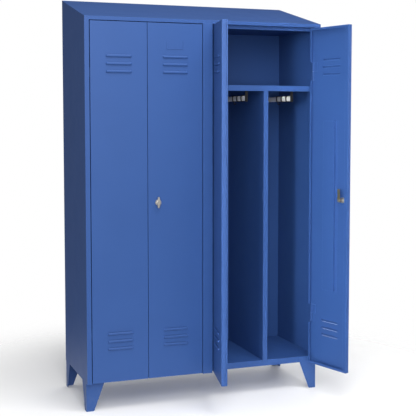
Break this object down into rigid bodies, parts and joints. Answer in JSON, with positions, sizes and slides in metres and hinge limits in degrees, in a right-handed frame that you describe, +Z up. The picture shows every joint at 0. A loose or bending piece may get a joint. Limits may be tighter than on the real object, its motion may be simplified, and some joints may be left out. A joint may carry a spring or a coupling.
{
  "type": "locker cabinet",
  "caption": "Steel locker cabinet with a sloping roof, vented double doors, turn-knob cam locks, hat shelves, dividers, hanging rails with sliding hooks, and short tapered feet.",
  "frame": {"origin": "on the floor, under the middle of the body (doors left out)", "axes": "+Z up; the doors are on the -Y side; +X to the right of someone facing the doors"},
  "size_m": [1.2475, 0.753, 1.975],
  "materials": {
    "blue_paint": "satin powder coat",
    "zinc_steel": "galvanised",
    "black_steel": "semi-gloss black",
    "nickel_lock": "nickel plate",
    "yellow_zinc": "yellow zinc plate"
  },
  "bodies": {
    "carcass": {"back_panel": "blue_paint", "base_pan": "blue_paint", "centre_post": "blue_paint", "centre_wall": "blue_paint", "divider_left": "blue_paint", "divider_right": "blue_paint", "foot_front_left": "blue_paint", "foot_front_right": "blue_paint", "foot_rear_left": "blue_paint", "foot_rear_right": "blue_paint", "frame_hinges": "blue_paint", "hanging_rail_left_bay_left": "zinc_steel", "hanging_rail_left_bay_right": "zinc_steel", "hanging_rail_right_bay_left": "zinc_steel", "hanging_rail_right_bay_right": "zinc_steel", "hat_shelf_left": "blue_paint", "hat_shelf_right": "blue_paint", "hinge_pins": "zinc_steel", "rail_brackets": "black_steel", "rail_sockets": "black_steel", "side_panel_left": "blue_paint", "side_panel_right": "blue_paint", "sloping_roof": "blue_paint", "top_panel": "blue_paint"},
    "left_bay_passive_leaf": {"left_bay_passive_skin": "blue_paint", "left_bay_passive_stiffener": "blue_paint", "left_bay_passive_hinges": "blue_paint", "left_bay_passive_meeting_strip": "blue_paint"},
    "left_bay_active_leaf": {"left_bay_active_skin": "blue_paint", "left_bay_active_stiffener": "blue_paint", "left_bay_active_hinges": "blue_paint", "left_bay_active_card_frame": "blue_paint", "left_bay_active_lock_barrel": "nickel_lock", "left_bay_active_lock_nut": "nickel_lock"},
    "left_bay_active_lock": {"left_bay_active_knob": "nickel_lock", "left_bay_active_cam": "yellow_zinc"},
    "right_bay_passive_leaf": {"right_bay_passive_skin": "blue_paint", "right_bay_passive_stiffener": "blue_paint", "right_bay_passive_hinges": "blue_paint", "right_bay_passive_meeting_strip": "blue_paint"},
    "right_bay_active_leaf": {"right_bay_active_skin": "blue_paint", "right_bay_active_stiffener": "blue_paint", "right_bay_active_hinges": "blue_paint", "right_bay_active_card_frame": "blue_paint", "right_bay_active_lock_barrel": "nickel_lock", "right_bay_active_lock_nut": "nickel_lock"},
    "right_bay_active_lock": {"right_bay_active_knob": "nickel_lock", "right_bay_active_cam": "yellow_zinc"},
    "hook_left_bay_left_1_body": {"hook_left_bay_left_1": "black_steel"},
    "hook_left_bay_left_2_body": {"hook_left_bay_left_2": "black_steel"},
    "hook_left_bay_left_3_body": {"hook_left_bay_left_3": "black_steel"},
    "hook_left_bay_right_1_body": {"hook_left_bay_right_1": "black_steel"},
    "hook_left_bay_right_2_body": {"hook_left_bay_right_2": "black_steel"},
    "hook_left_bay_right_3_body": {"hook_left_bay_right_3": "black_steel"},
    "hook_right_bay_left_1_body": {"hook_right_bay_left_1": "black_steel"},
    "hook_right_bay_left_2_body": {"hook_right_bay_left_2": "black_steel"},
    "hook_right_bay_left_3_body": {"hook_right_bay_left_3": "black_steel"},
    "hook_right_bay_right_1_body": {"hook_right_bay_right_1": "black_steel"},
    "hook_right_bay_right_2_body": {"hook_right_bay_right_2": "black_steel"},
    "hook_right_bay_right_3_body": {"hook_right_bay_right_3": "black_steel"}
  },
  "joints": [
    {"name": "left_bay_passive_hinge", "type": "hinge", "parent": "carcass", "child": "left_bay_passive_leaf", "pos_m": [-0.564, -0.243, 0.984], "axis": [0, 0, 1], "range_deg": [-110, 0]},
    {"name": "left_bay_active_hinge", "type": "hinge", "parent": "carcass", "child": "left_bay_active_leaf", "pos_m": [-0.0383, -0.243, 0.984], "axis": [0, 0, 1], "range_deg": [0, 85]},
    {"name": "right_bay_passive_hinge", "type": "hinge", "parent": "carcass", "child": "right_bay_passive_leaf", "pos_m": [0.0383, -0.243, 0.984], "axis": [0, 0, 1], "range_deg": [0, 102]},
    {"name": "right_bay_active_hinge", "type": "hinge", "parent": "carcass", "child": "right_bay_active_leaf", "pos_m": [0.564, -0.243, 0.984], "axis": [0, 0, 1], "range_deg": [-106, 4]},
    {"name": "left_bay_active_lock_turn", "type": "hinge", "parent": "left_bay_active_leaf", "child": "left_bay_active_lock", "pos_m": [-0.25165, -0.25, 0.9845], "axis": [0, -1, 0], "range_deg": [0, 90]},
    {"name": "right_bay_active_lock_turn", "type": "hinge", "parent": "right_bay_active_leaf", "child": "right_bay_active_lock", "pos_m": [0.62954, -0.44616, 0.9845], "axis": [0.9613, 0.2756, 0], "range_deg": [0, 90]},
    {"name": "hook_left_bay_left_1_slide", "type": "slide", "parent": "carcass", "child": "hook_left_bay_left_1_body", "axis": [0, 1, 0], "range_m": [-0.042, 0.024]},
    {"name": "hook_left_bay_left_2_slide", "type": "slide", "parent": "carcass", "child": "hook_left_bay_left_2_body", "axis": [0, 1, 0], "range_m": [-0.024, 0.024]},
    {"name": "hook_left_bay_left_3_slide", "type": "slide", "parent": "carcass", "child": "hook_left_bay_left_3_body", "axis": [0, 1, 0], "range_m": [-0.024, 0.28]},
    {"name": "hook_left_bay_right_1_slide", "type": "slide", "parent": "carcass", "child": "hook_left_bay_right_1_body", "axis": [0, 1, 0], "range_m": [-0.042, 0.024]},
    {"name": "hook_left_bay_right_2_slide", "type": "slide", "parent": "carcass", "child": "hook_left_bay_right_2_body", "axis": [0, 1, 0], "range_m": [-0.024, 0.024]},
    {"name": "hook_left_bay_right_3_slide", "type": "slide", "parent": "carcass", "child": "hook_left_bay_right_3_body", "axis": [0, 1, 0], "range_m": [-0.024, 0.28]},
    {"name": "hook_right_bay_left_1_slide", "type": "slide", "parent": "carcass", "child": "hook_right_bay_left_1_body", "axis": [0, 1, 0], "range_m": [-0.042, 0.024]},
    {"name": "hook_right_bay_left_2_slide", "type": "slide", "parent": "carcass", "child": "hook_right_bay_left_2_body", "axis": [0, 1, 0], "range_m": [-0.024, 0.024]},
    {"name": "hook_right_bay_left_3_slide", "type": "slide", "parent": "carcass", "child": "hook_right_bay_left_3_body", "axis": [0, 1, 0], "range_m": [-0.024, 0.28]},
    {"name": "hook_right_bay_right_1_slide", "type": "slide", "parent": "carcass", "child": "hook_right_bay_right_1_body", "axis": [0, 1, 0], "range_m": [-0.042, 0.024]},
    {"name": "hook_right_bay_right_2_slide", "type": "slide", "parent": "carcass", "child": "hook_right_bay_right_2_body", "axis": [0, 1, 0], "range_m": [-0.024, 0.024]},
    {"name": "hook_right_bay_right_3_slide", "type": "slide", "parent": "carcass", "child": "hook_right_bay_right_3_body", "axis": [0, 1, 0], "range_m": [-0.024, 0.28]}
  ]
}
